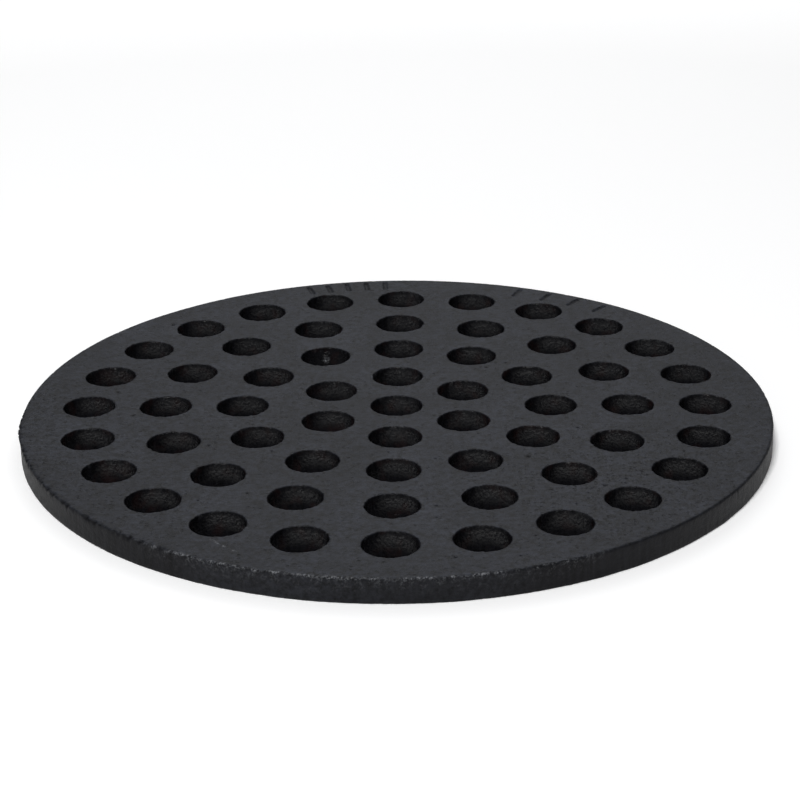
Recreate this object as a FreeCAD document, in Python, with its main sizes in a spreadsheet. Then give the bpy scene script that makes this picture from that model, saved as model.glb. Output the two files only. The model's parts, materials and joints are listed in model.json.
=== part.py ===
import FreeCAD, Part
import math
import os

import Sketcher

# Round drop-in drain cover: one flat grey-iron casting with a centre hole and four rings of round
# drain holes. Millimetres, +Z up. The origin is the centre of the underside, which rests on the
# ledge of a drain body. Every ring has one hole on the +Y axis.

SIZES = (
    ("cover_diameter", 165.1, "outside diameter of the rim"),
    ("cover_thickness", 5.5, "underside to walking surface"),
    ("rim_top_radius", 0.5, "rounding of the rim's upper edge"),
    ("rim_foot_radius", 0.3, "rounding of the rim's lower edge"),
    ("solid_margin", 8.6, "undrilled border between the outer ring's hole walls and the rim"),
    ("hole_diameter", 11.3, "drain hole, where its wall would meet the walking surface"),
    ("hole_draft", 3.0, "degrees that a hole's wall leans in on its way down"),
    ("hole_mouth_radius", 0.3, "rounding of a hole's mouth"),
    ("ring_1_holes", 6, "holes in the innermost ring"),
    ("ring_2_holes", 12, "holes in the second ring"),
    ("ring_3_holes", 16, "holes in the third ring"),
    ("ring_4_holes", 24, "holes in the outermost ring"),
    ("bar_edge_gap", 1.5, "rim to the outer end of a sunk bar"),
    ("bar_hole_gap", 1.5, "outer ring's hole walls to the inner end of a sunk bar"),
    ("bar_width", 1.2, "width of a sunk bar"),
    ("bar_depth", 0.4, "depth of a sunk bar"),
    ("short_row_bars", 4, "bars in the shorter row"),
    ("short_row_start", 51.0, "degrees from +X to the shorter row's first bar"),
    ("short_row_sweep", 17.0, "degrees from its first bar to its last"),
    ("long_row_bars", 5, "bars in the longer row"),
    ("long_row_start", 93.0, "degrees from +X to the longer row's first bar"),
    ("long_row_sweep", 14.0, "degrees from its first bar to its last"),
)
NODE = "grate_plate"
RINGS = 4
RUN_OUT = 1.0  # how far a hole's cutter runs past each face of the disc
COVER_RADIUS = "Sizes.cover_diameter / 2"
OUTER_RING = f"({COVER_RADIUS} - Sizes.solid_margin - Sizes.hole_diameter / 2)"
START, END, MIDDLE = 1, 2, 3  # the points of a sketch line or arc
SKETCH_ORIGIN = (-1, START)


def make_sheet(doc):
    """The sheet of driving sizes: name, value and meaning, one row each."""
    sheet = doc.addObject("Spreadsheet::Sheet", "Sizes")
    for row, (alias, value, meaning) in enumerate(SIZES, start=1):
        sheet.set(f"A{row}", alias)
        sheet.set(f"B{row}", str(value))
        sheet.set(f"C{row}", meaning)
        sheet.setAlias(f"B{row}", alias)
    doc.recompute()


def origin_feature(body, role):
    """One of the body's own origin planes or axes."""
    return next(item for item in body.Origin.OriginFeatures if item.Role == role)


def new_sketch(body, name, plane):
    """An empty sketch on one of the body's origin planes."""
    sketch = body.newObject("Sketcher::SketchObject", name)
    sketch.AttachmentSupport = [(origin_feature(body, plane), "")]
    sketch.MapMode = "FlatFace"
    return sketch


def line(sketch, start, end):
    """A straight line of the sketch, drawn near its place for the dimensions to move."""
    return sketch.addGeometry(Part.LineSegment(FreeCAD.Vector(*start), FreeCAD.Vector(*end)), False)


def hold(sketch, *constraint):
    """Add a constraint that has no size of its own."""
    sketch.addConstraint(Sketcher.Constraint(*constraint))


def drive(sketch, name, expression, *constraint):
    """Add a dimension and tie it to the sheet."""
    index = sketch.addConstraint(Sketcher.Constraint(*constraint))
    sketch.renameConstraint(index, name)
    sketch.setExpression(f"Constraints.{name}", expression)


def cut(body, feature):
    """Rebuild and check that a new cut took metal away."""
    before = feature.BaseFeature.Shape.Volume
    body.Document.recompute()
    if feature.Shape.Volume > before - 1:
        raise RuntimeError(f"{feature.Name} cut nothing")


def repeat_round(body, name, feature, count, sweep="360"):
    """Repeat a cut about the body's axis, with the copies spread evenly over the sweep."""
    pattern = body.newObject("PartDesign::PolarPattern", name)
    pattern.Originals = [feature]
    pattern.Axis = (origin_feature(body, "Z_Axis"), [""])
    pattern.setExpression("Angle", f"{sweep} * 1 deg")
    pattern.setExpression("Occurrences", count)
    body.Tip = pattern
    body.Document.recompute()


def add_disc(body):
    """The plain disc, from the underside up."""
    sketch = new_sketch(body, "rim_outline", "XY_Plane")
    rim = sketch.addGeometry(Part.Circle(FreeCAD.Vector(), FreeCAD.Vector(0, 0, 1), 80), False)
    hold(sketch, "Coincident", rim, MIDDLE, *SKETCH_ORIGIN)
    drive(sketch, "rim_diameter", "Sizes.cover_diameter", "Diameter", rim, 160)
    disc = body.newObject("PartDesign::Pad", "disc")
    disc.Profile = sketch
    disc.setExpression("Length", "Sizes.cover_thickness")
    body.Document.recompute()


def round_rim(body, name, upper, radius):
    """Round the rim's upper or lower edge."""
    plain = body.Tip
    flat_edges = [
        (edge.BoundBox.ZMax, f"Edge{number}")
        for number, edge in enumerate(plain.Shape.Edges, start=1)
        if edge.BoundBox.ZLength < 0.001
    ]
    rounding = body.newObject("PartDesign::Fillet", name)
    rounding.Base = (plain, [max(flat_edges)[1] if upper else min(flat_edges)[1]])
    rounding.setExpression("Radius", radius)
    body.Document.recompute()


def hole_section(body, name, radius):
    """Half-section of one drain hole, on +Y at the given radius and past both faces of the disc.

    The wall leans in on its way down and aims at the hole's stated radius on the walking surface,
    where the mouth rounds over.
    """
    sketch = new_sketch(body, name, "YZ_Plane")
    centre, wall, lip, top, lip_foot = 40.0, 45.6, 45.9, 5.5, 5.2
    axis = line(sketch, (centre, -RUN_OUT), (centre, top + RUN_OUT))
    over = line(sketch, (centre, top + RUN_OUT), (lip, top + RUN_OUT))
    drop = line(sketch, (lip, top + RUN_OUT), (lip, top))
    circle = Part.Circle(FreeCAD.Vector(lip, lip_foot, 0), FreeCAD.Vector(0, 0, 1), lip - wall)
    mouth = sketch.addGeometry(Part.ArcOfCircle(circle, math.radians(90), math.radians(180)), False)
    side = line(sketch, (wall, lip_foot), (wall - 0.1, -RUN_OUT))
    under = line(sketch, (wall - 0.1, -RUN_OUT), (centre, -RUN_OUT))
    aim = sketch.addGeometry(Part.Point(FreeCAD.Vector(wall, top, 0)), True)

    hold(sketch, "Coincident", axis, END, over, START)
    hold(sketch, "Coincident", over, END, drop, START)
    hold(sketch, "Coincident", drop, END, mouth, START)
    hold(sketch, "Tangent", mouth, END, side, START)
    hold(sketch, "Coincident", side, END, under, START)
    hold(sketch, "Coincident", under, END, axis, START)
    for upright in (axis, drop):
        hold(sketch, "Vertical", upright)
    for level in (over, under):
        hold(sketch, "Horizontal", level)
    hold(sketch, "Vertical", drop, END, mouth, MIDDLE)
    hold(sketch, "PointOnObject", aim, START, side)
    hold(sketch, "DistanceY", axis, START, *SKETCH_ORIGIN, RUN_OUT)
    surface = "Sizes.cover_thickness"
    drive(sketch, "cutter_top", f"{surface} + {RUN_OUT}",
          "DistanceY", *SKETCH_ORIGIN, axis, END, top + RUN_OUT)
    drive(sketch, "lip_height", surface, "DistanceY", *SKETCH_ORIGIN, drop, END, top)
    drive(sketch, "aim_height", surface, "DistanceY", *SKETCH_ORIGIN, aim, START, top)
    drive(sketch, "ring_radius", radius, "DistanceX", *SKETCH_ORIGIN, axis, START, centre)
    drive(sketch, "hole_radius", "Sizes.hole_diameter / 2",
          "DistanceX", axis, START, aim, START, wall - centre)
    drive(sketch, "mouth_radius", "Sizes.hole_mouth_radius", "Radius", mouth, lip - wall)
    drive(sketch, "wall_draft", "Sizes.hole_draft * 1 deg",
          "Angle", side, END, axis, START, math.radians(3))
    return sketch, axis


def add_holes(body, name, ring):
    """The centre hole, as ring 0, or one evenly spaced ring of holes."""
    sketch, axis = hole_section(body, f"{name}_section", f"{OUTER_RING} * {ring} / {RINGS}")
    hole = body.newObject("PartDesign::Groove", name)
    hole.Profile = sketch
    hole.ReferenceAxis = (sketch, [f"Edge{axis + 1}"])
    hole.Angle = 360
    cut(body, hole)
    if ring:
        repeat_round(body, f"{name}_pattern", hole, f"Sizes.ring_{ring}_holes")


def add_bars(body, row):
    """A row of sunk radial bars in the solid margin, which tell castings of one batch apart."""
    sketch = new_sketch(body, f"{row}_bar_outline", "XY_Plane")
    sketch.setExpression("AttachmentOffset.Base.z", "Sizes.cover_thickness")
    sketch.setExpression("AttachmentOffset.Rotation.Angle", f"Sizes.{row}_start * 1 deg")
    inner, outer, half = 76.0, 81.0, 0.6
    near = line(sketch, (inner, half), (inner, -half))
    right = line(sketch, (inner, -half), (outer, -half))
    far = line(sketch, (outer, -half), (outer, half))
    left = line(sketch, (outer, half), (inner, half))
    sides = (near, right, far, left)
    for side, after in zip(sides, sides[1:] + sides[:1]):
        hold(sketch, "Coincident", side, END, after, START)
    for level in (right, left):
        hold(sketch, "Horizontal", level)
    hold(sketch, "Vertical", far)
    hold(sketch, "Symmetric", near, START, near, END, -1)
    drive(sketch, "bar_width", "Sizes.bar_width", "DistanceY", near, END, near, START, 2 * half)
    drive(sketch, "inner_end", f"{COVER_RADIUS} - Sizes.solid_margin + Sizes.bar_hole_gap",
          "DistanceX", *SKETCH_ORIGIN, near, START, inner)
    drive(sketch, "outer_end", f"{COVER_RADIUS} - Sizes.bar_edge_gap",
          "DistanceX", *SKETCH_ORIGIN, far, START, outer)
    bar = body.newObject("PartDesign::Pocket", f"{row}_bar")
    bar.Profile = sketch
    bar.setExpression("Length", "Sizes.bar_depth")
    cut(body, bar)
    repeat_round(body, f"{row}_bars", bar, f"Sizes.{row}_bars", f"Sizes.{row}_sweep")


def make_grate_plate(doc):
    """The whole casting."""
    body = doc.addObject("PartDesign::Body", NODE)
    body.Label = NODE
    add_disc(body)
    round_rim(body, "rim_top_rounding", True, "Sizes.rim_top_radius")
    round_rim(body, "rim_foot_rounding", False, "Sizes.rim_foot_radius")
    add_holes(body, "centre_hole", 0)
    for ring in range(1, RINGS + 1):
        add_holes(body, f"ring_{ring}_hole", ring)
    add_bars(body, "short_row")
    add_bars(body, "long_row")
    return body


def check(doc, bodies):
    """Stop on any failed feature, loose sketch or unsound solid."""
    for item in doc.Objects:
        if "Invalid" in item.State or "Error" in item.State:
            raise RuntimeError(f"{item.Label} failed to rebuild")
        if item.TypeId == "Sketcher::SketchObject" and not item.FullyConstrained:
            raise RuntimeError(f"{item.Label} is not fully dimensioned")
    for body in bodies:
        if body.Shape.isNull() or not body.Shape.isValid():
            raise RuntimeError(f"{body.Label} is not a sound solid")
        if len(body.Shape.Solids) != 1:
            raise RuntimeError(f"{body.Label} came apart")


def main():
    doc = FreeCAD.newDocument("drain_cover")
    make_sheet(doc)
    bodies = [make_grate_plate(doc)]
    doc.recompute()
    check(doc, bodies)
    os.makedirs("parts", exist_ok=True)
    for body in bodies:
        body.Shape.exportStep(f"parts/{body.Label}.step")
        print(f"{body.Label}: {body.Shape.Volume:.1f} mm3, {len(body.Shape.Faces)} faces")


main()
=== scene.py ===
import json
import math

import bpy
import numpy as np
from mathutils import Matrix, Vector, noise
from mathutils.geometry import delaunay_2d_cdt


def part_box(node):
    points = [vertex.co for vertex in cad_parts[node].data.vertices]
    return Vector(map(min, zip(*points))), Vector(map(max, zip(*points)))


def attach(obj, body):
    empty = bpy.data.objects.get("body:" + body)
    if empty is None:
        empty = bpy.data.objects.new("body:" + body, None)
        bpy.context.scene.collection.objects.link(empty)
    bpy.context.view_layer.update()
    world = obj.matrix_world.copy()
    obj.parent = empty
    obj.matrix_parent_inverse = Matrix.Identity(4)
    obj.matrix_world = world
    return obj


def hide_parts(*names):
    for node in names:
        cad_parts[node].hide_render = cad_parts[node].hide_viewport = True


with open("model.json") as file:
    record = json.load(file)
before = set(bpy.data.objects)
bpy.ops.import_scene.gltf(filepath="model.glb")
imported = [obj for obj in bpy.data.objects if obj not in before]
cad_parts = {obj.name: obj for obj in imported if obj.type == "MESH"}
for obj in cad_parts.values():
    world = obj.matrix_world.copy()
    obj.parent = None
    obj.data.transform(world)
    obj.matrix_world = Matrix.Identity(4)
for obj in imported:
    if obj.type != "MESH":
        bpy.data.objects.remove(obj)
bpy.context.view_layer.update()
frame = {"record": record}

bl_info = {
    "name": "Round drain cover",
    "version": (1, 0, 0),
    "blender": (4, 5, 0),
    "location": "View3D > Sidebar > Drain cover",
    "description": "Builds the cast plate, its black coat and a plain stage for it",
    "category": "Object",
}

NODE = "grate_plate"
MM = 0.001
LOW, HIGH = (Vector(corner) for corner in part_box(NODE))
THICKNESS = HIGH.z - LOW.z
RADIUS = next(m["dims"]["r_mm"] for m in frame["record"]["mounts"] if m["name"] == "rim") * MM

# The mesh.
MOUTH_COLLAR = 0.4 * MM  # flat row of mesh round each upper edge, which keeps its shading crisp
FOOT_COLLAR = 0.8 * MM  # the same on the underside
FOOT_BREAK = 0.1 * MM  # how much a hole's lower edge is broken
RIM_POINTS, HOLE_POINTS = 1200, 64
RIM_WALL_ROWS, HOLE_WALL_ROWS = 9, 6
JITTER, CLEARANCE = 0.18, 0.55  # of a flat face's points, as shares of the mesh step
UNDERSIDE_STEP = 1.7 * MM
STRIP_CLEARANCE = 0.45 * MM  # between a fine strip and the points round it
BAR_OFFSETS = np.array((-0.95, -0.72, -0.5, -0.25, 0, 0.25, 0.5, 0.72, 0.95)) * MM
SCRATCH_OFFSETS = np.array((-0.4, -0.15, 0, 0.15, 0.4)) * MM

# Places on the plate: lines and spots in metres from its centre, bearings in degrees from +X.
BAR_ROWS = ((51, 68, 4), (93, 107, 5))  # first bearing, last bearing and number of sunk bars
SCRATCH = np.array(((-35.7, -65.4), (-28.6, -72.3))) * MM
BEAD_RING, BEAD_HOLE = 2, 1  # the hole that has a bead of iron left in its far wall
BEAD_SIDE, BEAD_DEPTH = -0.2 * MM, 2.9 * MM  # from the middle of that wall's top
BEAD_WIDTH, BEAD_HEIGHT = 1.3 * MM, 1.1 * MM
POROUS_SPOT, POROUS_REACH = np.array((45, -42)) * MM, 24 * MM
PIT_BEARING, PIT_REACH = (-42, 12), (62, 9)  # middle and spread of the pits' patch, in degrees and mm
PIT_RADII, PIT_ODDS = (0.3, 0.4, 0.65), (0.6, 0.3, 0.1)  # in mm, and how often each comes
FLASH_HEIGHT = 0.15 * MM  # of the flash in the holes, above the floor
LIT_WALL_FACING = (-0.28, -0.96, 0)  # the way a hole's wall faces where the front light falls on it, and where a painted highlight is laid

# Arcs of the rim, each a middle bearing and a half width.
BROKEN_ARC = (211, 24)  # upper edge broken by fettling
HANDLED_GLINT_ARC, NICKED_GLINT_ARC = (261, 22), (292, 3)  # upper edge with grit, rubbed wear and a painted glint line where the front light falls
LIT_RIM_ARC, WIDE_LIT_RIM_ARC = (254, 8), (266, 18)  # side face painted lighter and glossier where the front light falls on it
SHADED_EDGE_ARC = (315, 26)  # upper edge with a painted dark line of shade
FLASH_ARC = (302, 20)  # most of the flash at the foot
BURR_ARC = (189, 0)
POROUS_ARC = (205, 30)  # border of the top face with small specks in it
ARC_FADE = 8  # degrees in which an arc fades out at each end

# Where a zone of the skin starts to count and where it counts in full.
RIM_ZONE, HOLE_ZONE = (1.3 * MM, 0.4 * MM), (0.7 * MM, 0.2 * MM)  # gap to the rim or to a hole's wall
FACING = (0.6, 0.95)  # upward or downward share of the normal
EDGE_WIDTH, LINE_WIDTH, FOOT_WIDTH, LIP_WIDTH = 0.6 * MM, 0.35 * MM, 0.6 * MM, 0.6 * MM

# How far the coat is rubbed off, or a painted glint laid on, as shares: the scratch is wear, the lip and
# brushed shares are partly painted glints, the bead's is only a painted glint.
LIP_RUB_GLINT, SCRATCH_RUB, BRUSHED_RUB_GLINT, BEAD_GLINT = 0.15, 0.45, 0.17, 0.9

# The stage, in metres and watts.
FLOOR_REACH = 4
AIM = Vector((0.8 * MM, 3.05 * MM, THICKNESS))  # what the camera looks at, before its turn
CENTRE = (0, 0, THICKNESS)
SOFTBOXES = (  # name, place, target, side and power
    ("back", (0, 1.0, 1.0), (0, 0.4, 0), 1.5, 4),
    ("rear", (0, 0.65, 0.55), (0, 0.4, 0), 0.5, 1.05),
    ("front", (-0.2, -0.6, 1.1), CENTRE, 0.35, 12),
    ("left", (-1.0, -0.1, 0.45), CENTRE, 0.5, 0.35),
    ("right", (1.0, -0.05, 0.45), CENTRE, 0.5, 0.35),
)


def linear(hex_colour):
    """A six-digit sRGB hex colour as linear red, green and blue."""
    parts = [int(hex_colour[i:i + 2], 16) / 255 for i in (1, 3, 5)]
    return tuple(c / 12.92 if c <= 0.04045 else ((c + 0.055) / 1.055) ** 2.4 for c in parts)


# ---------------------------------------------------------------- settings


class PlateSizes(bpy.types.PropertyGroup):
    """Sizes of the casting that the frame doesn't hold."""

    solid_margin: bpy.props.FloatProperty(
        name="Solid margin", description="Border between the outer hole walls and the rim",
        default=8.6 * MM, unit="LENGTH")
    hole_diameter: bpy.props.FloatProperty(
        name="Hole", description="Drain hole where its wall would meet the top",
        default=11.3 * MM, unit="LENGTH")
    hole_draft: bpy.props.FloatProperty(
        name="Draft", description="How far a hole's wall leans in on its way down",
        default=math.radians(3), subtype="ANGLE")
    mouth_radius: bpy.props.FloatProperty(
        name="Mouth rounding", description="Rounding of a hole's mouth",
        default=0.3 * MM, unit="LENGTH")
    rim_top_radius: bpy.props.FloatProperty(
        name="Rim top rounding", description="Rounding of the rim's upper edge",
        default=0.5 * MM, unit="LENGTH")
    rim_foot_radius: bpy.props.FloatProperty(
        name="Rim foot rounding", description="Rounding of the rim's lower edge",
        default=0.3 * MM, unit="LENGTH")
    ring_holes: bpy.props.IntVectorProperty(
        name="Holes per ring", description="Holes in each ring, from the innermost out",
        size=4, default=(6, 12, 16, 24))
    bar_depth: bpy.props.FloatProperty(
        name="Bar depth", description="Depth of the sunk bars in the margin",
        default=0.4 * MM, unit="LENGTH")
    bar_width: bpy.props.FloatProperty(
        name="Bar width", description="Width of the sunk bars",
        default=1.2 * MM, unit="LENGTH")
    bar_edge_gap: bpy.props.FloatProperty(
        name="Bar edge gap", description="Rim to the outer end of a sunk bar",
        default=1.5 * MM, unit="LENGTH")
    bar_hole_gap: bpy.props.FloatProperty(
        name="Bar hole gap", description="Outer hole walls to the inner end of a sunk bar",
        default=1.5 * MM, unit="LENGTH")


class PlateRelief(bpy.types.PropertyGroup):
    """How far the sand mould and the fettling left the skin from its drawing."""

    mesh_step: bpy.props.FloatProperty(
        name="Mesh step", description="Spacing of the mesh on the top face",
        default=0.9 * MM, unit="LENGTH")
    sway: bpy.props.FloatProperty(
        name="Sway", description="Long waves of the top face",
        default=0.05 * MM, unit="LENGTH")
    grain: bpy.props.FloatProperty(
        name="Sand grain", description="Depth of the sand grain in the hole walls",
        default=0.13 * MM, unit="LENGTH")
    ripple: bpy.props.FloatProperty(
        name="Ripple", description="Short waves of the top face",
        default=0.012 * MM, unit="LENGTH")
    slump: bpy.props.FloatProperty(
        name="Slump", description="How far the underside draws up from the floor",
        default=0.05 * MM, unit="LENGTH")
    rim_wave: bpy.props.FloatProperty(
        name="Rim wave", description="Waves of the rim's side face",
        default=0.05 * MM, unit="LENGTH")
    rim_streak: bpy.props.FloatProperty(
        name="Rim streak", description="Upright draw marks in the rim's side face",
        default=0.03 * MM, unit="LENGTH")
    rim_grit: bpy.props.FloatProperty(
        name="Rim grit", description="Sand grain in the rim's side face",
        default=0.01 * MM, unit="LENGTH")
    handled_grit: bpy.props.FloatProperty(
        name="Handled grit", description="More sand grain where the rim's coat is rubbed",
        default=0.03 * MM, unit="LENGTH")
    hole_wave: bpy.props.FloatProperty(
        name="Hole wave", description="Waves of the hole walls",
        default=0.08 * MM, unit="LENGTH")
    lip_grain: bpy.props.FloatProperty(
        name="Lip grain", description="Roughness of the hole mouths",
        default=0.14 * MM, unit="LENGTH")
    bead: bpy.props.FloatProperty(
        name="Bead", description="How far the bead of iron stands out of its hole's wall",
        default=1.5 * MM, unit="LENGTH")
    pits: bpy.props.IntProperty(
        name="Pits", description="Gas pits in the top face", default=30, min=0)
    chip_depth: bpy.props.FloatProperty(
        name="Chip depth", description="Deepest chip in the rim's upper edge",
        default=0.45 * MM, unit="LENGTH")
    edge_grit: bpy.props.FloatProperty(
        name="Edge grit", description="Roughness of the rim's upper edge",
        default=0.012 * MM, unit="LENGTH")
    worn_edge_grit: bpy.props.FloatProperty(
        name="Worn edge grit", description="More roughness where that edge is broken or rubbed",
        default=0.035 * MM, unit="LENGTH")
    burr: bpy.props.FloatProperty(
        name="Burr", description="How far the burr stands out of the rim's upper edge",
        default=0.5 * MM, unit="LENGTH")
    scratch: bpy.props.FloatProperty(
        name="Scratch", description="How far the scrape raised the top face",
        default=0.07 * MM, unit="LENGTH")
    flash: bpy.props.FloatProperty(
        name="Flash", description="How far the casting flash stands out at the rim's foot",
        default=0.12 * MM, unit="LENGTH")
    hole_flash: bpy.props.FloatProperty(
        name="Hole flash", description="How far the casting flash stands into a hole at its foot",
        default=0.7 * MM, unit="LENGTH")
    seed: bpy.props.IntProperty(name="Seed", description="Picks the places of the pits", default=7)


class CoatLook(bpy.types.PropertyGroup):
    """The black dip coat and the iron under it."""

    coat: bpy.props.FloatVectorProperty(
        name="Coat", description="The coat on the flat faces", subtype="COLOR",
        size=3, default=linear("#1d1f25"))
    # Painted shade: a darker copy of the coat for the rim, the underside and the hole walls
    wall_shade_coat: bpy.props.FloatVectorProperty(
        name="Deep coat", description="The thicker coat on the rim and in the holes",
        subtype="COLOR", size=3, default=linear("#101013"))
    # Partly painted highlight: a light grey for rubbed edges and the scratch, and for painted glints on
    # the front edge, the hole lips and the bead
    rubbed_and_glint: bpy.props.FloatVectorProperty(
        name="Rubbed edge", description="Edges where the coat is rubbed thin", subtype="COLOR",
        size=3, default=linear("#85878b"))
    # Painted highlight: a lighter coat laid on each hole's wall that faces the front light
    lit_wall_highlight_coat: bpy.props.FloatVectorProperty(
        name="Thin coat", description="The coat in the holes on the side it drained from",
        subtype="COLOR", size=3, default=linear("#1b1b1d"))
    rust: bpy.props.FloatVectorProperty(
        name="Rust", description="Brown that shows through the coat inside the holes",
        subtype="COLOR", size=3, default=linear("#1c1212"))


class StageLook(bpy.types.PropertyGroup):
    """Floor, lights and camera."""

    floor: bpy.props.FloatVectorProperty(
        name="Floor", description="Colour of the floor", subtype="COLOR",
        size=3, default=linear("#fafafa"))
    room: bpy.props.FloatVectorProperty(
        name="Room", description="Colour of the dim room round the stage", subtype="COLOR",
        size=3, default=linear("#616264"))
    backdrop: bpy.props.FloatVectorProperty(
        name="Backdrop", description="Colour seen past the end of the floor", subtype="COLOR",
        size=3, default=linear("#fcfcfc"))
    azimuth: bpy.props.FloatProperty(
        name="Azimuth", description="Camera's turn about the plate from straight in front",
        default=math.radians(1.11), subtype="ANGLE")
    elevation: bpy.props.FloatProperty(
        name="Elevation", description="Camera's height above the floor, as an angle",
        default=math.radians(22.85), subtype="ANGLE")
    roll: bpy.props.FloatProperty(
        name="Roll", description="Camera's tilt about its own view line",
        default=math.radians(-0.69), subtype="ANGLE")
    distance: bpy.props.FloatProperty(
        name="Distance", description="Camera to the point it aims at",
        default=0.4788, unit="LENGTH")
    lens: bpy.props.FloatProperty(
        name="Lens", description="Focal length on a 36 mm wide frame", default=96.6)


# ---------------------------------------------------------------- the plate as drawn


class Skin:
    """A mesh that grows loop by loop. Its loops run anticlockwise seen from above."""

    def __init__(self):
        self.points, self.faces = np.empty((0, 3)), []

    def add(self, points):
        """Add points and return their numbers."""
        self.points = np.concatenate([self.points, points])
        return np.arange(len(self.points) - len(points), len(self.points))

    def loop(self, centre, radius, height, count):
        """A level circle of evenly spaced points."""
        turn = np.arange(count) * 2 * math.pi / count
        x, y = centre[0] + radius * np.cos(turn), centre[1] + radius * np.sin(turn)
        return self.add(np.column_stack([x, y, np.full(count, height)]))

    def bridge(self, first, second):
        """Quads from one loop to the next, facing the loops' centre if the first is above."""
        self.faces += np.column_stack([first, np.roll(first, -1), np.roll(second, -1), second]).tolist()

    def fill(self, border, holes, height, inner, facing_up):
        """Triangles over a flat face between its border, its holes' rims and the inner points."""
        loops = [border] + [loop for _, _, loop in holes]
        numbers = np.concatenate([*loops, self.add(np.column_stack([inner, np.full(len(inner), height)]))])
        flat = self.points[numbers, :2]
        edges, start = [], 0
        for loop in loops:
            edges += [(start + k, start + (k + 1) % len(loop)) for k in range(len(loop))]
            start += len(loop)
        points = [Vector(p) for p in flat.tolist()]
        keep_all, nearness = 0, 1e-9
        _, _, faces, origins, _, _ = delaunay_2d_cdt(points, edges, [], keep_all, nearness)
        if [origin[0] for origin in origins] != list(range(len(flat))):
            raise RuntimeError("two points of a flat face fell together")
        faces = np.array(faces)
        middle = flat[faces].mean(1)
        open_share = math.cos(math.pi / HOLE_POINTS)  # of the radius, out to the loop's straight sides
        in_hole = np.zeros(len(faces), bool)
        for centre, radius, _ in holes:
            in_hole |= np.linalg.norm(middle - centre, axis=1) < open_share * radius
        faces = numbers[faces[~in_hole]]
        self.faces += (faces if facing_up else faces[:, ::-1]).tolist()


def hole_centres(sizes):
    """The centre hole's place and every ring's, each ring starting on +Y."""
    outer = RADIUS - sizes.solid_margin - sizes.hole_diameter / 2
    places = [(0.0, 0.0)]
    for ring, count in enumerate(sizes.ring_holes, start=1):
        reach = outer * ring / len(sizes.ring_holes)
        for turn in math.pi / 2 + np.arange(count) * 2 * math.pi / count:
            places.append((reach * math.cos(turn), reach * math.sin(turn)))
    return np.array(places)


def bead_hole(sizes):
    """Number of the hole with the bead of iron in its wall."""
    return 1 + sum(sizes.ring_holes[:BEAD_RING - 1]) + BEAD_HOLE


def bar_lines(sizes):
    """The two ends of each sunk bar's centre line, in two rows in the margin."""
    inner = RADIUS - sizes.solid_margin + sizes.bar_hole_gap + sizes.bar_width / 2
    outer = RADIUS - sizes.bar_edge_gap - sizes.bar_width / 2
    lines = []
    for first, last, count in BAR_ROWS:
        for turn in np.radians(np.linspace(first, last, count)):
            along = np.array([math.cos(turn), math.sin(turn)])
            lines.append((inner * along, outer * along))
    return lines


def hole_rows(sizes):
    """Radius and height of each row of the mesh down a hole, from the top face to the underside."""
    lean, lip = math.tan(sizes.hole_draft), sizes.mouth_radius
    wall = sizes.hole_diameter / 2
    mouth = wall + lip * math.tan((math.pi / 2 - sizes.hole_draft) / 2)
    rows = [(mouth + MOUTH_COLLAR, THICKNESS)]
    for a in (0, math.pi / 4, math.pi / 2 - sizes.hole_draft):
        rows.append((mouth - lip * math.sin(a), THICKNESS - lip + lip * math.cos(a)))
    for z in np.linspace(THICKNESS - lip, FOOT_BREAK, HOLE_WALL_ROWS + 1)[1:]:
        rows.append((wall - (THICKNESS - z) * lean, z))
    foot = wall - THICKNESS * lean + FOOT_BREAK
    return rows + [(foot, 0.0), (foot + FOOT_COLLAR, 0.0)]


def rim_rows(sizes):
    """Radius and height of each row of the mesh down the rim, from the top face to the underside."""
    top, foot = sizes.rim_top_radius, sizes.rim_foot_radius
    rows = [(RADIUS - top - MOUTH_COLLAR, THICKNESS)]
    for a in np.radians((0, 30, 60, 90)):
        rows.append((RADIUS - top + top * math.sin(a), THICKNESS - top + top * math.cos(a)))
    rows += [(RADIUS, z) for z in np.linspace(THICKNESS - top, foot, RIM_WALL_ROWS + 1)[1:]]
    for a in np.radians((45, 90)):
        rows.append((RADIUS - foot + foot * math.cos(a), foot - foot * math.sin(a)))
    return rows + [(RADIUS - foot - FOOT_COLLAR, 0.0)]


def line_distance(points, ends):
    """Distance of flat points from the line between two ends."""
    start, run = ends[0], ends[1] - ends[0]
    share = np.clip((points - start) @ run / (run @ run), 0, 1)
    return np.linalg.norm(points - start - share[:, None] * run, axis=1)


def lattice(border, holes, step, seed):
    """Jittered points over a flat face, clear of its border and its holes' rims."""
    rng = np.random.default_rng(seed)
    rows = np.arange(-RADIUS, RADIUS, step * math.sqrt(3) / 2)
    columns = np.arange(-RADIUS, RADIUS, step)
    points = np.array([(x + step / 2 * (k % 2), y) for k, y in enumerate(rows) for x in columns])
    points += rng.uniform(-JITTER, JITTER, points.shape) * step
    clear = CLEARANCE * step
    keep = np.linalg.norm(points, axis=1) < border - clear
    for centre, radius, _ in holes:
        keep &= np.linalg.norm(points - centre, axis=1) > radius + clear
    return points[keep]


def finer_strip(points, ends, offsets, overrun, spacing):
    """The points with a fine strip laid along the line between two ends."""
    run = np.linalg.norm(ends[1] - ends[0])
    along = (ends[1] - ends[0]) / run
    side = np.array([-along[1], along[0]])
    points = points[line_distance(points, ends) > offsets[-1] + STRIP_CLEARANCE]
    marks = np.arange(-overrun, run + overrun, spacing)
    strip = [ends[0] + a * along + b * side for a in marks for b in offsets]
    return np.concatenate([points, strip])


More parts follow.
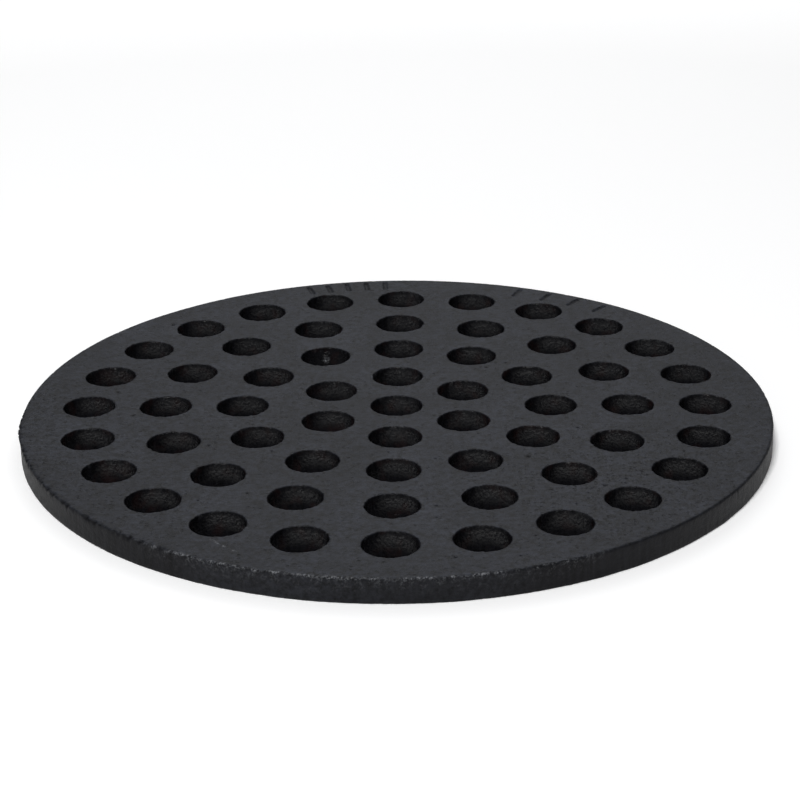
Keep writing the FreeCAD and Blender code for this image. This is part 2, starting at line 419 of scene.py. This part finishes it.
def finer_points(points, bars, pits):
    """The top face's points, drawn closer together at the sunk bars, the scratch and the pits."""
    turn = np.arange(8) * math.pi / 4
    compass = np.column_stack([np.cos(turn), np.sin(turn)])
    for bar in bars:
        points = finer_strip(points, bar, BAR_OFFSETS, overrun=0.9 * MM, spacing=0.33 * MM)
    points = finer_strip(points, SCRATCH, SCRATCH_OFFSETS, overrun=0, spacing=0.25 * MM)
    for place, radius in pits:
        inner, outer, clear = 0.55 * radius, 1.2 * radius, 0.25 * MM
        points = points[np.linalg.norm(points - place, axis=1) > outer + clear]
        points = np.concatenate([points, [place], place + inner * compass, place + outer * compass])
    return points


def scatter_pits(relief, centres, sizes, bars):
    """Places and radii of the gas pits, thickest in one patch of the margin."""
    rng = np.random.default_rng(relief.seed)
    patch_share, near, far = 0.45, 1.8 * MM, 2.4 * MM
    pits = []
    while len(pits) < relief.pits:
        if rng.random() < patch_share:
            turn, reach = math.radians(rng.normal(*PIT_BEARING)), rng.normal(*PIT_REACH) * MM
        else:
            turn, reach = rng.uniform(0, 2 * math.pi), RADIUS * math.sqrt(rng.random())
        place = reach * np.array([math.cos(turn), math.sin(turn)])
        radius = rng.choice(PIT_RADII, p=PIT_ODDS) * MM
        hole_gap = np.linalg.norm(centres - place, axis=1).min() - sizes.hole_diameter / 2
        line_gap = min(line_distance(place[None], line)[0] for line in (*bars, SCRATCH))
        pit_gap = min((np.linalg.norm(place - other) for other, _ in pits), default=RADIUS)
        if min(RADIUS - reach, line_gap) > far and min(hole_gap, pit_gap) > near:
            pits.append((place, radius))
    return pits


def draw_plate(sizes, relief, centres, bars, pits):
    """The closed plate as drawn, with its mesh fine enough to carry the cast relief."""
    skin = Skin()
    rows = rim_rows(sizes)
    rim = [skin.loop((0, 0), r, z, RIM_POINTS) for r, z in rows]
    for upper, lower in zip(rim, rim[1:]):
        skin.bridge(lower, upper)
    mouths, feet = [], []
    hole = hole_rows(sizes)
    for centre in centres:
        loops = [skin.loop(centre, r, z, HOLE_POINTS) for r, z in hole]
        for upper, lower in zip(loops, loops[1:]):
            skin.bridge(upper, lower)
        mouths.append((centre, hole[0][0], loops[0]))
        feet.append((centre, hole[-1][0], loops[-1]))
    top = finer_points(lattice(rows[0][0], mouths, relief.mesh_step, 1), bars, pits)
    skin.fill(rim[0], mouths, THICKNESS, top, True)
    skin.fill(rim[-1], feet, 0.0, lattice(rows[-1][0], feet, UNDERSIDE_STEP, 2), False)
    return skin


# ---------------------------------------------------------------- the cast relief


def rise(low, high, value):
    """0 at low, 1 at high, and smooth between."""
    share = np.clip((value - low) / (high - low), 0, 1)
    return share * share * (3 - 2 * share)


def bell(distance, width):
    """1 at no distance, fading out over about the width."""
    return np.exp(-(distance / width) ** 2)


def arc(turn, middle, half_width):
    """1 within half_width degrees of the middle bearing, fading to 0 beyond it."""
    gap = np.degrees(np.abs(np.angle(np.exp(1j * (turn - math.radians(middle))))))
    return rise(half_width + ARC_FADE, half_width, gap)


class Spots:
    """Where each point of the drawn skin lies on the plate: gaps in metres, and shares from 0 to 1."""

    def __init__(self, points, normals, sizes, centres):
        self.points, self.normals, self.flat = points, normals, points[:, :2]
        self.height, self.depth = points[:, 2], THICKNESS - points[:, 2]
        reach = np.linalg.norm(self.flat, axis=1)
        self.outward = points / np.maximum(reach, MM)[:, None] * (1, 1, 0)
        self.edge_gap = RADIUS - reach
        hole_gap = np.full(len(points), RADIUS)
        for centre in centres:
            hole_gap = np.minimum(hole_gap, np.linalg.norm(self.flat - centre, axis=1))
        hole_gap -= sizes.hole_diameter / 2

        self.on_top, self.under = rise(*FACING, normals[:, 2]), rise(*FACING, -normals[:, 2])
        sideways = 1 - self.on_top - self.under
        by_rim, by_hole = rise(*RIM_ZONE, self.edge_gap), rise(*HOLE_ZONE, hole_gap)
        self.side, self.bore = sideways * by_rim, sideways * by_hole
        self.foot = bell(self.height, FOOT_WIDTH) * by_rim
        self.lip = bell(self.depth, LIP_WIDTH) * by_hole
        from_edge = np.hypot(np.maximum(self.edge_gap, 0), np.maximum(self.depth, 0))
        self.edge, self.edge_line = bell(from_edge, EDGE_WIDTH), bell(from_edge, LINE_WIDTH)

        self.turn = np.arctan2(points[:, 1], points[:, 0])
        self.broken = arc(self.turn, *BROKEN_ARC)
        # the arcs where the rim's upper edge has grit, and where a painted glint line is laid
        self.handled_and_glint = np.maximum(arc(self.turn, *HANDLED_GLINT_ARC), arc(self.turn, *NICKED_GLINT_ARC))
        self.burr = arc(self.turn, *BURR_ARC)
        self.chips = rise(0, 0.5, self.lumps(1.3 * MM, shift=23) - 0.35 * (1 - self.broken))
        scraped = bell(line_distance(self.flat, SCRATCH), 0.22 * MM)
        self.scraped = self.on_top * scraped * rise(-0.2, 0.3, self.lumps(1.6 * MM, 2, shift=35))

        aside = self.flat - centres[bead_hole(sizes)]
        in_hole = np.linalg.norm(aside, axis=1) < 0.6 * sizes.hole_diameter
        self.far_wall = self.bore * in_hole * (aside[:, 1] > 0)
        bead = bell(aside[:, 0] - BEAD_SIDE, BEAD_WIDTH) * bell(self.depth - BEAD_DEPTH, BEAD_HEIGHT)
        self.bead = self.far_wall * bead

    def lumps(self, size, layers=3, shift=0):
        """Smooth random heights, about -1 to 1, in lumps of the given size."""
        spots = self.points / np.asarray(size, float) + np.array([shift, 1.7 * shift, 0.3 * shift])
        return np.array([noise.fractal(Vector(p), 1.0, 2.0, layers) for p in spots.tolist()])


def sand_skin(at, relief):
    """How far the sand mould moved each point along its normal: waves, grain and draw marks."""
    top = relief.sway * at.lumps(24 * MM, 2) + relief.ripple * at.lumps(4 * MM, 2, shift=5)
    bottom = relief.slump * (1 + at.lumps(6 * MM, shift=3))
    side = relief.rim_wave * at.lumps(12 * MM, 2, shift=11)
    side += relief.rim_streak * at.lumps((1 * MM, 1 * MM, 9 * MM), 2, shift=13)
    side += (relief.rim_grit + relief.handled_grit * at.handled_and_glint) * at.lumps(1 * MM, 2, shift=15)
    wall = relief.grain * at.lumps(1.2 * MM, shift=17) + relief.hole_wave * at.lumps(5 * MM, 1, shift=19)
    lip = relief.lip_grain * at.lumps(0.9 * MM, 2, shift=21)
    return at.on_top * top - at.under * bottom + at.side * side + at.bore * wall + at.lip * lip


def hole_faults(at, relief):
    """How far the flash at each hole's foot and the one bead of iron stand into the holes."""
    flash = bell(at.height - FLASH_HEIGHT, 0.3 * MM) * (0.85 + 0.4 * at.lumps(2.5 * MM, 2, shift=29))
    return at.bore * relief.hole_flash * flash + at.bead * relief.bead


def worn_edge(at, relief):
    """How far chips and grit moved the rim's upper edge along its normal."""
    chipped = relief.chip_depth * at.chips * (0.25 + 0.75 * at.broken)
    grit = relief.edge_grit + relief.worn_edge_grit * np.maximum(at.broken, at.handled_and_glint)
    return at.edge * (grit * at.lumps(0.9 * MM, 2, shift=25) - chipped)


def rim_faults(at, relief):
    """How far the flash at the rim's foot and the burr on its upper edge stand out."""
    fins = rise(-0.15, 0.6, at.lumps((5 * MM, 5 * MM, 30 * MM), shift=27))
    flash = relief.flash * fins * (0.3 + 0.7 * arc(at.turn, *FLASH_ARC))
    return at.foot * flash + at.edge * at.burr * relief.burr


def sunk_marks(at, sizes, bars, pits):
    """Depth of the sunk bars and the pits under the top face, and the painted shade laid in them."""
    bar, half = np.zeros(len(at.points)), sizes.bar_width / 2
    for line in bars:
        bar = np.maximum(bar, rise(half + 0.12 * MM, half - 0.28 * MM, line_distance(at.flat, line)))
    dip, shade = sizes.bar_depth * bar, 0.5 * bar
    for place, radius in pits:
        bowl = rise(1.15 * radius, 0.1 * radius, np.linalg.norm(at.flat - place, axis=1))
        dip = np.maximum(dip, bowl * (0.5 * radius + 0.05 * MM))
        shade = np.maximum(shade, bowl)
    return at.on_top * dip, at.on_top * shade


def relieve(at, sizes, relief, bars, pits):
    """Where the mould and the fettling left each point. Also returns the painted shade in the sunk marks.
    """
    push = sand_skin(at, relief) + hole_faults(at, relief) + worn_edge(at, relief)
    moved = at.points + push[:, None] * at.normals + rim_faults(at, relief)[:, None] * at.outward
    dip, shade = sunk_marks(at, sizes, bars, pits)
    moved[:, 2] += relief.scratch * at.scraped - dip
    moved[:, 2] = np.maximum(moved[:, 2], 0)
    return moved, shade


def wear_masks(at, shade):
    """Shares from 0 to 1 of each kind of wear, and of the painted shade and highlights, that the coat's
    material reads.
    """
    brushed_and_glint = at.side * at.handled_and_glint * bell(at.depth, 2.6 * MM)
    # Rubbed wear and painted glints: a bright line on the upper edge where the front light falls, glints
    # on the hole lips and the bead's nose; the scratch is wear
    rubbed_and_glint = at.edge_line * at.handled_and_glint * rise(-0.4, 0.4, at.lumps(1.1 * MM, shift=31))
    rubbed_and_glint += LIP_RUB_GLINT * at.lip * rise(0.1, 0.7, at.lumps(1.2 * MM, 2, shift=33))
    rubbed_and_glint += BRUSHED_RUB_GLINT * brushed_and_glint * rise(-0.1, 0.5, at.lumps(0.8 * MM, 2, shift=37))
    rubbed_and_glint += SCRATCH_RUB * at.scraped + BEAD_GLINT * at.bead * rise(0.5, 0.8, at.bead)

    # Painted shade: a dark line along the rim's upper edge in one arc and at the burr
    edge_shade_line = 0.8 * at.edge_line * np.maximum(arc(at.turn, *SHADED_EDGE_ARC), at.burr)
    # Painted shade in the sunk bars, the pits and the chips, and along that edge line
    sunk = np.maximum(np.maximum(shade, at.edge * at.chips), edge_shade_line)
    # Painted light: the rim's side face takes less of the painted shade along its upper edge line and in
    # the front arcs where the front light falls; the underside takes some of it
    lighter = np.maximum(0.45 * arc(at.turn, *LIT_RIM_ARC), 0.3 * arc(at.turn, *WIDE_LIT_RIM_ARC))
    side = at.side * (1 - np.maximum(0.5 * at.edge_line, lighter)) + 0.6 * at.under

    # Painted highlight: lighter, glossier coat on the wall of each hole that faces the front light, below
    # the lip and above the floor
    lit_wall = rise(0.5, 1.0, at.normals @ LIT_WALL_FACING)
    lit_wall *= rise(4.6 * MM, 1.0 * MM, at.depth) * rise(0.1 * MM, 0.5 * MM, at.depth)
    patch = bell(np.linalg.norm(at.flat - POROUS_SPOT, axis=1), POROUS_REACH)
    border = 0.5 * arc(at.turn, *POROUS_ARC) * rise(14 * MM, 4 * MM, at.edge_gap)
    return {
        "rubbed_and_glint": rubbed_and_glint,
        "bore": at.bore,
        "sunk": sunk,
        "wall_shade": np.maximum(at.bore, side),
        "grit": np.maximum(at.bore, brushed_and_glint),
        "lit_wall_highlight": lit_wall * (at.bore - 0.8 * at.far_wall),
        "porous": at.on_top * np.maximum(patch, border),
    }


# ---------------------------------------------------------------- the coat


def add_node(tree, kind, inputs=None, **settings):
    """Add a node with its settings. Each input takes a value or another node's output."""
    node = tree.nodes.new(kind)
    for name, value in settings.items():
        setattr(node, name, value)
    for name, value in (inputs or {}).items():
        if isinstance(value, bpy.types.NodeSocket):
            tree.links.new(value, node.inputs[name])
        else:
            node.inputs[name].default_value = value
    return node


class CoatNodes:
    """The coat's node tree, and the kinds of node that it is made of."""

    def __init__(self, name):
        self.material = bpy.data.materials.new(name)
        self.material.use_nodes = True
        self.tree = self.material.node_tree
        self.tree.nodes.clear()
        self.place = self.add("ShaderNodeTexCoord").outputs["Object"]

    def add(self, kind, inputs=None, **settings):
        return add_node(self.tree, kind, inputs, **settings)

    def mask(self, name):
        """One of the plate's wear masks."""
        return self.add("ShaderNodeAttribute", attribute_name=name).outputs["Fac"]

    def scaled(self, sizes):
        """The place on the plate, measured in steps of the sizes in millimetres."""
        stretch = tuple(1 / (size * MM) for size in sizes)
        return self.add("ShaderNodeMapping", {"Vector": self.place, "Scale": stretch}).outputs["Vector"]

    def grain(self, sizes, detail, roughness=0.5):
        """Smooth noise in lumps of the sizes."""
        settings = {"Vector": self.scaled(sizes), "Scale": 1.0, "Detail": detail, "Roughness": roughness}
        return self.add("ShaderNodeTexNoise", settings).outputs["Fac"]

    def blend(self, share, low, high):
        """A mix of two colours."""
        settings = {"Factor": share, 6: low, 7: high}
        return self.add("ShaderNodeMix", settings, data_type="RGBA").outputs[2]

    def spread(self, value, low, high, to_low=0.0, to_high=1.0):
        """The value moved from one range to another, and held inside it."""
        settings = {"Value": value, "From Min": low, "From Max": high, "To Min": to_low, "To Max": to_high}
        return self.add("ShaderNodeMapRange", settings).outputs["Result"]

    def maths(self, operation, first, second):
        return self.add("ShaderNodeMath", {0: first, 1: second}, operation=operation).outputs[0]

    def product(self, first, second):
        return self.maths("MULTIPLY", first, second)

    def shaded(self, colour, share):
        """The colour times the share."""
        return self.add("ShaderNodeVectorMath", {0: colour, 3: share}, operation="SCALE").outputs[0]


def coat_specks(nodes, wall_shade):
    """Small dented specks where gas came through the flat faces, thickest in the porous patches, with
    painted shade in each.
    """
    cells = nodes.add("ShaderNodeTexVoronoi", {"Vector": nodes.scaled((1.2, 1.2, 1.2)), "Scale": 1.0},
                      voronoi_dimensions="2D")
    chance = nodes.add("ShaderNodeSeparateColor", {"Color": cells.outputs["Color"]}).outputs["Red"]
    odds = nodes.spread(nodes.mask("porous"), 0, 1, 0.9, 0.45)
    chosen = nodes.maths("GREATER_THAN", chance, odds)
    speck = nodes.product(nodes.spread(cells.outputs["Distance"], 0.34, 0.1, 0, 0.6), chosen)
    return nodes.product(speck, nodes.spread(wall_shade, 0, 0.4, 1, 0))


def coat_colour(nodes, coat, wall_shade, bore, lit_wall_highlight, mottle, pit_and_edge_shade):
    """Grey-black on the flat faces, with painted shade on the rim and the hole walls, a painted highlight
    on each hole's lit wall, rust in the holes, rubbed grey wear with painted glints on the edges, and
    painted shade in the sunk marks, chips and specks.
    """
    clouds = nodes.spread(nodes.grain((15, 15, 15), 4), 0.35, 0.65, 0.8, 1.18)
    streaks = nodes.spread(nodes.grain((9, 0.6, 0.6), 3), 0.35, 0.65, 0.9, 1.1)
    runs = nodes.spread(nodes.grain((0.8, 0.8, 9), 3), 0.35, 0.65, 0.6, 1.5)
    flat = nodes.shaded(coat.coat, nodes.product(clouds, nodes.product(mottle, streaks)))
    # painted shade: the rim, the underside and the hole walls take the darker copy of the coat, darker
    # still in the holes
    dark = nodes.shaded(coat.wall_shade_coat, nodes.product(runs, nodes.spread(bore, 0, 1, 1, 0.7)))
    colour = nodes.blend(wall_shade, flat, dark)
    # painted highlight on the wall of each hole that faces the front light
    colour = nodes.blend(lit_wall_highlight, colour, (*coat.lit_wall_highlight_coat, 1))
    rust = nodes.product(bore, nodes.spread(nodes.grain((3, 3, 3), 3), 0.52, 0.8))
    colour = nodes.blend(rust, colour, (*coat.rust, 1))
    sand = nodes.spread(nodes.grain((0.4, 0.4, 0.4), 3, 0.6), 0.45, 0.6)
    # rubbed wear, and painted glints on the lit edge, the lips and the bead
    colour = nodes.blend(nodes.product(nodes.mask("rubbed_and_glint"), sand), colour, (*coat.rubbed_and_glint, 1))
    # painted shade in the sunk marks, chips, specks and the dark edge line
    return nodes.blend(pit_and_edge_shade, colour, (*[0.6 * c for c in coat.wall_shade_coat], 1))


def coat_bump(nodes, speck):
    """A soft skin on the flat faces and open sand grain in the holes, which breaks up highlights."""
    grit = nodes.mask("grit")
    skin, grains = nodes.grain((1.0, 1.0, 1.0), 4, 0.7), nodes.grain((0.6, 0.6, 0.6), 2)
    both = nodes.add("ShaderNodeMix", {"Factor": grit, 2: skin, 3: grains}, data_type="FLOAT")
    height = nodes.maths("SUBTRACT", both.outputs[0], speck)
    bump = nodes.add("ShaderNodeBump", {
        "Height": height, "Distance": 0.35 * MM, "Strength": nodes.spread(grit, 0, 1, 0.45, 0.85)})
    return bump.outputs["Normal"]


def coat_sheen(nodes, wall_shade, bore, lit_wall_highlight, mottle, sunk):
    """Satin on the flat faces, with the sheen dimmed as painted shade on the rim, in the holes and in the
    sunk marks, and raised as a painted highlight on each hole's lit wall.
    """
    # painted shade: less sheen on the rim, and much less in the holes
    even = nodes.product(nodes.spread(wall_shade, 0, 1, 0.21, 0.13), nodes.spread(bore, 0, 1, 1, 0.2))
    # painted highlight: more sheen on the wall of each hole that faces the front light
    sheen = nodes.maths("ADD", even, nodes.product(lit_wall_highlight, 0.38))
    # painted shade: less sheen in the sunk marks, chips and the dark edge line
    patchy = nodes.product(nodes.spread(mottle, 0.15, 1.85, 0.78, 1.22), nodes.spread(sunk, 0, 1, 1, 0.4))
    return nodes.product(sheen, patchy)


def black_dipped_cast_iron(coat):
    """Sand-cast grey iron dipped in thin black bitumen paint.

    The paint is a soft satin black, greyer on the flat faces. The rim, the underside and the hole walls
    take a darker copy of it as painted shade, and the edges are rubbed to a duller grey, with painted
    glints along the front edge, the hole lips and the bead. Each hole has a painted highlight, a lighter
    and glossier coat, on the wall that faces the front light. The sand grain under the paint breaks every
    highlight into small glints.
    """
    nodes = CoatNodes("black_dipped_cast_iron")
    # wall_shade and sunk carry painted shade, lit_wall_highlight a painted highlight
    wall_shade, bore, sunk, lit_wall_highlight = map(nodes.mask, ("wall_shade", "bore", "sunk", "lit_wall_highlight"))
    mottle = nodes.spread(nodes.grain((1.2, 1.2, 1.2), 4, 0.75), 0.36, 0.64, 0.15, 1.85)
    speck = coat_specks(nodes, wall_shade)
    # painted shade in the sunk marks, chips, specks and the dark edge line
    pit_and_edge_shade = nodes.maths("MAXIMUM", sunk, speck)
    uneven = nodes.spread(mottle, 0.15, 1.85, -0.07, 0.07)
    paint = nodes.add("ShaderNodeBsdfPrincipled", {
        "Base Color": coat_colour(nodes, coat, wall_shade, bore, lit_wall_highlight, mottle, pit_and_edge_shade),
        "Roughness": nodes.maths("ADD", nodes.spread(bore, 0, 1, 0.55, 0.3), uneven),
        "Normal": coat_bump(nodes, speck),
        "IOR": 1.5,
        "Specular IOR Level": coat_sheen(nodes, wall_shade, bore, lit_wall_highlight, mottle, sunk),
        "Metallic": 0.0,
    })
    nodes.add("ShaderNodeOutputMaterial", {"Surface": paint.outputs["BSDF"]})
    return nodes.material


class DRAIN_OT_cast_plate(bpy.types.Operator):
    """Cast the plate with its holes, sunk bars and sand-cast skin, and dip it in black"""

    bl_idname = "drain_cover.cast_plate"
    bl_label = "Cast plate"

    def execute(self, context):
        made = context.scene.drain_cover
        sizes, relief = made.sizes, made.relief
        centres, bars = hole_centres(sizes), bar_lines(sizes)
        pits = scatter_pits(relief, centres, sizes, bars)
        skin = draw_plate(sizes, relief, centres, bars, pits)
        mesh = bpy.data.meshes.new("cast_plate")
        mesh.from_pydata(skin.points.tolist(), [], skin.faces)
        mesh.update()
        normals = np.empty(len(skin.points) * 3)
        mesh.vertices.foreach_get("normal", normals)
        at = Spots(skin.points, normals.reshape(-1, 3), sizes, centres)
        moved, shade = relieve(at, sizes, relief, bars, pits)
        mesh.vertices.foreach_set("co", moved.ravel())
        for name, values in wear_masks(at, shade).items():
            mask = mesh.attributes.new(name, "FLOAT", "POINT")
            mask.data.foreach_set("value", np.clip(values, 0, 1))
        mesh.shade_smooth()
        mesh.update()
        plate = bpy.data.objects.new("cast_plate", mesh)
        context.scene.collection.objects.link(plate)
        mesh.materials.append(black_dipped_cast_iron(made.coat))
        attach(plate, "root")
        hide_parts(NODE)
        return {"FINISHED"}


# ---------------------------------------------------------------- the stage


def softbox(scene, name, place, target, size, power):
    """A square studio softbox that faces the target."""
    light = bpy.data.lights.new(name, "AREA")
    light.shape, light.size, light.energy = "SQUARE", size, power
    lamp = bpy.data.objects.new(name, light)
    lamp.visible_camera = False
    lamp.location = place
    lamp.rotation_euler = (Vector(target) - Vector(place)).to_track_quat("-Z", "Y").to_euler()
    scene.collection.objects.link(lamp)


def white_acrylic_sheet(colour):
    """Matt white acrylic on a product table, lit from below so that it stays white.

    The light below is faint under the plate and stronger out where the softboxes don't reach.
    """
    material = bpy.data.materials.new("white_acrylic_sheet")
    material.use_nodes = True
    tree = material.node_tree
    tree.nodes.clear()
    place = add_node(tree, "ShaderNodeTexCoord").outputs["Object"]
    reach = add_node(tree, "ShaderNodeVectorMath", {0: place}, operation="LENGTH").outputs["Value"]
    glow = add_node(tree, "ShaderNodeMapRange", {
        "Value": reach, "From Min": 0.35, "From Max": 1.3, "To Min": 0.12, "To Max": 0.8})
    sheet = add_node(tree, "ShaderNodeBsdfPrincipled", {
        "Base Color": (*colour, 1), "Roughness": 0.9, "IOR": 1.49,
        "Emission Color": (1, 1, 1, 1), "Emission Strength": glow.outputs["Result"]})
    add_node(tree, "ShaderNodeOutputMaterial", {"Surface": sheet.outputs["BSDF"]})
    return material


def studio_room(room_colour, backdrop_colour):
    """A dim neutral room for the light, and a pale backdrop where the camera looks past the floor."""
    world = bpy.data.worlds.new("studio_room")
    world.use_nodes = True
    tree = world.node_tree
    tree.nodes.clear()
    room = add_node(tree, "ShaderNodeBackground", {"Color": (*room_colour, 1)})
    backdrop = add_node(tree, "ShaderNodeBackground", {"Color": (*backdrop_colour, 1)})
    seen = add_node(tree, "ShaderNodeLightPath").outputs["Is Camera Ray"]
    both = add_node(tree, "ShaderNodeMixShader", {
        0: seen, 1: room.outputs["Background"], 2: backdrop.outputs["Background"]})
    add_node(tree, "ShaderNodeOutputWorld", {"Surface": both.outputs["Shader"]})
    return world


class DRAIN_OT_set_stage(bpy.types.Operator):
    """Lay the pale floor, hang the softboxes and set up the camera"""

    bl_idname = "drain_cover.set_stage"
    bl_label = "Set stage"

    def execute(self, context):
        scene, look = context.scene, context.scene.drain_cover.stage
        corners = [(x * FLOOR_REACH, y * FLOOR_REACH, 0) for x, y in ((-1, -1), (1, -1), (1, 1), (-1, 1))]
        mesh = bpy.data.meshes.new("floor")
        mesh.from_pydata(corners, [], [(0, 1, 2, 3)])
        mesh.materials.append(white_acrylic_sheet(look.floor))
        floor = bpy.data.objects.new("floor", mesh)
        scene.collection.objects.link(floor)
        scene.world = studio_room(look.room, look.backdrop)
        for name, place, target, side, power in SOFTBOXES:
            softbox(scene, name, place, target, side, power)

        camera = bpy.data.cameras.new("camera")
        camera.lens, camera.sensor_width = look.lens, 36
        camera.clip_start = 0.01
        eye = bpy.data.objects.new("camera", camera)
        spin = Matrix.Rotation(look.azimuth, 4, "Z")
        tilt = spin @ Matrix.Rotation(math.pi / 2 - look.elevation, 4, "X")
        stand = Matrix.Translation(spin @ AIM + tilt @ Vector((0, 0, look.distance)))
        eye.matrix_world = stand @ tilt @ Matrix.Rotation(look.roll, 4, "Z")
        scene.collection.objects.link(eye)
        scene.camera = eye
        scene.view_settings.view_transform = "Standard"
        return {"FINISHED"}


class DRAIN_PT_panel(bpy.types.Panel):
    """Lists the steps in the sidebar"""

    bl_label = "Drain cover"
    bl_space_type = "VIEW_3D"
    bl_region_type = "UI"
    bl_category = "Drain cover"

    def draw(self, context):
        made = context.scene.drain_cover
        for group in (made.sizes, made.relief, made.coat, made.stage):
            for name in group.__annotations__:
                self.layout.prop(group, name)
        for step in STEPS:
            self.layout.operator(step.bl_idname)


class DrainCover(bpy.types.PropertyGroup):
    """All settings of the cover."""

    sizes: bpy.props.PointerProperty(type=PlateSizes)
    relief: bpy.props.PointerProperty(type=PlateRelief)
    coat: bpy.props.PointerProperty(type=CoatLook)
    stage: bpy.props.PointerProperty(type=StageLook)


STEPS = (DRAIN_OT_cast_plate, DRAIN_OT_set_stage)
CLASSES = (PlateSizes, PlateRelief, CoatLook, StageLook, DrainCover, *STEPS, DRAIN_PT_panel)


def register():
    for cls in CLASSES:
        bpy.utils.register_class(cls)
    bpy.types.Scene.drain_cover = bpy.props.PointerProperty(type=DrainCover)


def unregister():
    del bpy.types.Scene.drain_cover
    for cls in reversed(CLASSES):
        bpy.utils.unregister_class(cls)


def main():
    register()
    bpy.ops.drain_cover.cast_plate()
    bpy.ops.drain_cover.set_stage()


if __name__ == "__main__":
    main()
